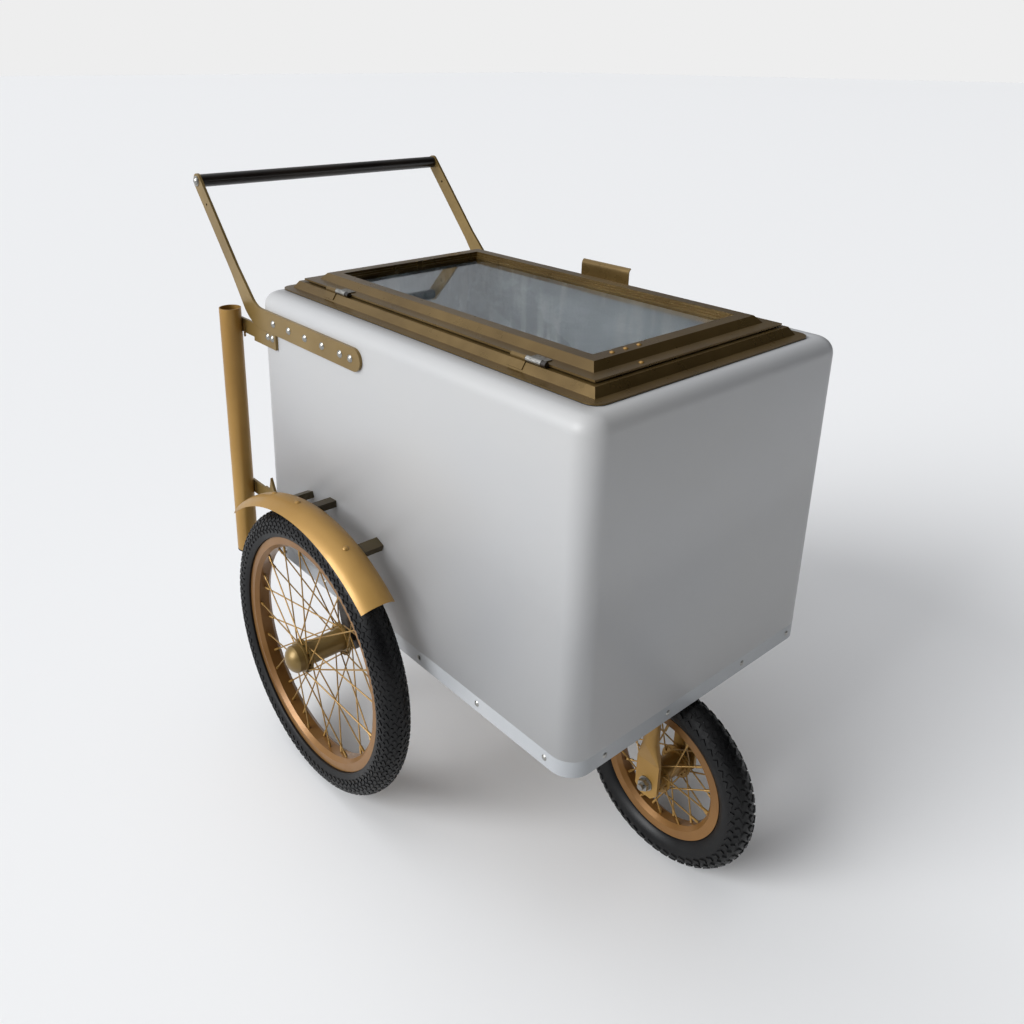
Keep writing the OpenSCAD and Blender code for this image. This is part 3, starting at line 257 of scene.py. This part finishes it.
def place_piece(shape, name, finish, body, stands_for=(), crease=35):
    """Turns a finished bmesh into a piece that moves with a body."""
    bmesh.ops.remove_doubles(shape, verts=shape.verts, dist=1e-6)
    bmesh.ops.recalc_face_normals(shape, faces=shape.faces)
    mesh = bpy.data.meshes.new(name)
    shape.to_mesh(mesh)
    shape.free()
    mesh.materials.append(finish)
    mesh.shade_smooth()
    mesh.set_sharp_from_angle(angle=math.radians(crease))
    piece = bpy.data.objects.new(name, mesh)
    bpy.context.scene.collection.objects.link(piece)
    if stands_for:
        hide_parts(*stands_for)
    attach(piece, body)
    return piece


def middle(corners):
    return (Vector(corners[0]) + Vector(corners[1])) / 2


def across(corners):
    return Vector(corners[1]) - Vector(corners[0])


def box_shell():
    """The box's moulded skin, open below and round the tub, with its wall added inwards."""
    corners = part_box("body_shell")
    size = across(corners)
    corner, edge, deck_margin, wall = 0.036, 0.024, 0.038, 0.004
    shape = bmesh.new()
    bmesh.ops.create_cube(shape, size=1)
    bmesh.ops.scale(shape, vec=size, verts=shape.verts)
    bmesh.ops.translate(shape, vec=middle(corners), verts=shape.verts)
    upright = [e for e in shape.edges if abs(e.verts[0].co.z - e.verts[1].co.z) > size.z / 2]
    bmesh.ops.bevel(
        shape, geom=upright, offset=corner, segments=14, profile=0.5, affect="EDGES", material=-1
    )
    top = max(shape.faces, key=lambda f: f.calc_center_median().z)
    bmesh.ops.bevel(
        shape, geom=list(top.edges), offset=edge, segments=10, profile=0.5, affect="EDGES", material=-1
    )
    top = max((f for f in shape.faces if f.normal.z > 0.99), key=lambda f: f.calc_area())
    reach = Vector([max(abs(v.co[i] - middle(corners)[i]) for v in top.verts) for i in (0, 1)])
    shrink = ((reach.x - deck_margin) / reach.x, (reach.y - deck_margin) / reach.y, 1)
    rim = bmesh.ops.extrude_face_region(shape, geom=[top])["geom"]
    rim_points = [g for g in rim if isinstance(g, bmesh.types.BMVert)]
    opening = [g for g in rim if isinstance(g, bmesh.types.BMFace)]
    bmesh.ops.scale(
        shape, vec=shrink, verts=rim_points, space=Matrix.Translation(-middle(corners))
    )
    floor = [f for f in shape.faces if f.normal.z < -0.99]
    bmesh.ops.delete(shape, geom=opening + floor, context="FACES")
    piece = place_piece(
        shape, "box_skin", FINISHES["white_paint"], "chassis", ("body_shell",), 60
    )
    thick = piece.modifiers.new("wall", "SOLIDIFY")
    thick.thickness = wall
    thick.offset = -1
    return piece


def tyre(name, node, rim_node, body, rows, columns, block, skew, spread):
    """A tyre with its tread: rings of small blocks round a carcass whose beads sit in the rim."""
    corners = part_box(node)
    centre = middle(corners)
    size = across(corners)
    outer = size.z / 2
    half = size.x / 2
    ring = outer - half
    seat = across(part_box(rim_node)).z / 2
    rim_half = across(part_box(rim_node)).x / 2
    depth = block[2]
    skin = half - depth * 0.55
    reach = math.acos((seat + 0.0006 - ring) / skin)
    steps = 36
    outline = []
    for i in range(steps + 1):
        angle = -reach + 2 * reach * i / steps
        lift = 0.0
        for band in (1.28, 1.55, 1.80):
            lift += 0.0006 * math.exp(-(((abs(angle) - band) / 0.035) ** 2))
        bulge = skin + lift
        outline.append((bulge * math.sin(angle), ring + bulge * math.cos(angle)))
    bead = rim_half - 0.0035
    outline += [(bead, seat + 0.0006), (bead, seat - 0.008), (-bead, seat - 0.008), (-bead, seat + 0.0006)]
    shape = bmesh.new()
    points = [shape.verts.new((x, 0, r)) for x, r in outline]
    loop = [shape.edges.new((a, b)) for a, b in zip(points, points[1:] + points[:1])]
    bmesh.ops.spin(
        shape, geom=points + loop, cent=(0, 0, 0), axis=(1, 0, 0), angle=2 * math.pi, steps=128,
        use_merge=True
    )
    blocks = bmesh.new()
    for row in range(rows):
        angle = spread * (2 * row / (rows - 1) - 1)
        made = bmesh.ops.create_cube(blocks, size=1)["verts"]
        bmesh.ops.scale(blocks, vec=(block[0], block[1], depth * 1.5), verts=made)
        crown = [v for v in made if v.co.z > 0]
        bmesh.ops.scale(blocks, vec=(0.78, 0.82, 1), verts=crown)
        turn = Matrix.Rotation(skew * (1 if row % 2 else -1), 3, "Z")
        bmesh.ops.rotate(blocks, cent=(0, 0, 0), matrix=turn, verts=made)
        bmesh.ops.translate(blocks, vec=(0, 0, half - depth * 0.80), verts=made)
        bmesh.ops.rotate(blocks, cent=(0, 0, 0), matrix=Matrix.Rotation(angle, 3, "Y"), verts=made)
        bmesh.ops.translate(blocks, vec=(0, 0, ring), verts=made)
        bmesh.ops.rotate(
            blocks, cent=(0, 0, 0), matrix=Matrix.Rotation((row % 2) * math.pi / columns, 3, "X"), verts=made
        )
    bmesh.ops.spin(
        blocks, geom=blocks.verts[:] + blocks.edges[:] + blocks.faces[:], cent=(0, 0, 0), axis=(1, 0, 0),
        angle=2 * math.pi * (columns - 1) / columns, steps=columns - 1, use_duplicate=True
    )
    bmesh.ops.recalc_face_normals(blocks, faces=blocks.faces)
    cut = bpy.data.meshes.new(name + "_blocks")
    blocks.to_mesh(cut)
    blocks.free()
    shape.from_mesh(cut)
    bpy.data.meshes.remove(cut)
    bmesh.ops.translate(shape, vec=centre, verts=shape.verts)
    return place_piece(shape, name, FINISHES["tyre_rubber"], body, (node,), 40)


def weld_bead(name, body, start, end, size, finish):
    """A row of flattened overlapping drops along a joint."""
    start, end = Vector(start), Vector(end)
    count = max(2, int((end - start).length / (size * 0.55)))
    shape = bmesh.new()
    for i in range(count + 1):
        made = bmesh.ops.create_icosphere(shape, subdivisions=2, radius=size / 2)["verts"]
        bmesh.ops.scale(shape, vec=(1, 1, 0.8), verts=made)
        bmesh.ops.translate(shape, vec=start.lerp(end, i / count), verts=made)
    return place_piece(shape, name, finish, body)


box_shell()
REAR_TREAD = dict(
    rows=15, columns=96, block=(0.0052, 0.0100, 0.0028), skew=math.radians(30), spread=math.radians(98)
)
tyre("rear_tyre_right", "tyre_right", "rim_right", "rear_wheel_right", **REAR_TREAD)
tyre("rear_tyre_left", "tyre_left", "rim_left", "rear_wheel_left", **REAR_TREAD)
tyre(
    "front_tyre_knobbed", "front_tyre", "front_rim", "front_wheel", rows=7, columns=54,
    block=(0.0080, 0.0115, 0.0042), skew=math.radians(24), spread=math.radians(74)
)

# Beads where the umbrella tube meets its two brackets
bracket_low, bracket_high = (corner.z for corner in map(Vector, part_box("umbrella_brackets")))
bead_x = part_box("umbrella_brackets")[0][0] + 0.001
bead_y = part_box("umbrella_tube")[0][1] + 0.006
for name, low, high in (
    ("upper", bracket_high - 0.034, bracket_high - 0.012),
    ("lower", bracket_low + 0.006, bracket_low + 0.026),
):
    weld_bead(
        "socket_weld_" + name, "chassis", (bead_x, bead_y, low), (bead_x, bead_y, high), 0.0045,
        FINISHES["gold_paint"]
    )


# ---------- Floor, light and camera ----------

def stage_finish(name, colour):
    finish, tree, shader, place = new_finish(name)
    shader.inputs["Base Color"].default_value = (*colour, 1)
    shader.inputs["Roughness"].default_value = 0.9
    return finish


floor_shape = bmesh.new()
bmesh.ops.create_grid(floor_shape, x_segments=1, y_segments=1, size=60)
floor_mesh = bpy.data.meshes.new("floor")
floor_shape.to_mesh(floor_mesh)
floor_shape.free()
floor_mesh.materials.append(stage_finish("pale_floor", (0.84, 0.84, 0.84)))
floor_piece = bpy.data.objects.new("floor", floor_mesh)
bpy.context.scene.collection.objects.link(floor_piece)


def studio_sky(shade, glow, backdrop):
    """Light that falls off towards the front of the cart; the camera alone sees the backdrop."""
    sky = bpy.data.worlds.new("studio")
    bpy.context.scene.world = sky
    sky.use_nodes = True
    tree = sky.node_tree
    back = tree.nodes["Background"]
    back.inputs["Strength"].default_value = 1.0
    place = tree.nodes.new("ShaderNodeTexCoord")
    turn = tree.nodes.new("ShaderNodeVectorMath")
    turn.operation = "DOT_PRODUCT"
    turn.inputs[1].default_value = (-0.50, 0.62, 0.60)
    tree.links.new(place.outputs["Generated"], turn.inputs[0])
    spread = tree.nodes.new("ShaderNodeMapRange")
    spread.inputs["From Min"].default_value = -1
    tree.links.new(turn.outputs["Value"], spread.inputs["Value"])
    seen = tree.nodes.new("ShaderNodeLightPath")
    mix = tree.nodes.new("ShaderNodeMix")
    mix.data_type = "RGBA"
    tree.links.new(seen.outputs["Is Camera Ray"], mix.inputs["Factor"])
    tree.links.new(ramp(tree, spread.outputs["Result"], [(0.46, shade), (0.92, glow)]), mix.inputs["A"])
    mix.inputs["B"].default_value = (*backdrop, 1)
    tree.links.new(mix.outputs["Result"], back.inputs["Color"])


def sun(name, source, strength, spread, colour):
    lamp = bpy.data.lights.new(name, "SUN")
    lamp.energy = strength
    lamp.angle = math.radians(spread)
    lamp.color = colour
    holder = bpy.data.objects.new(name, lamp)
    holder.rotation_euler = (-Vector(source)).to_track_quat("-Z", "Y").to_euler()
    bpy.context.scene.collection.objects.link(holder)


studio_sky((0.02, 0.02, 0.02), (0.74, 0.76, 0.80), (0.855, 0.855, 0.855))
sun("key", (-1.0, 0.24, 0.54), 3.0, 36, (0.98, 0.99, 1.0))
sun("top", (-0.15, 0.30, 1.0), 0.55, 60, (1.0, 0.99, 0.97))
bpy.context.scene.view_settings.view_transform = "Standard"

# Where the camera stands, in metres, how it is turned, in degrees, and its lens
EYE = (-1.00917, -1.08942, 1.22929)
YAW, PITCH, ROLL = -39.337872, -19.414177, 0.356184
SENSOR_MM = 36
FOCAL_MM = 31.97298515625
SHIFT_RIGHT, SHIFT_UP = 0.059521484375, -0.131357421875
yaw, pitch, roll = (math.radians(a) for a in (YAW, PITCH, ROLL))
ahead = Vector((-math.sin(yaw) * math.cos(pitch), math.cos(yaw) * math.cos(pitch), math.sin(pitch)))
right = ahead.cross(Vector((0, 0, 1))).normalized()
up = right.cross(ahead)
side = math.cos(roll) * right + math.sin(roll) * up
rise = -math.sin(roll) * right + math.cos(roll) * up
lens = bpy.data.cameras.new("camera")
lens.sensor_width = SENSOR_MM
lens.lens = FOCAL_MM
lens.shift_x = SHIFT_RIGHT
lens.shift_y = SHIFT_UP
camera = bpy.data.objects.new("camera", lens)
turn = Matrix((side, rise, -ahead)).transposed().to_4x4()
camera.matrix_world = Matrix.Translation(EYE) @ turn
bpy.context.scene.collection.objects.link(camera)
bpy.context.scene.camera = camera

bpy.context.view_layer.update()
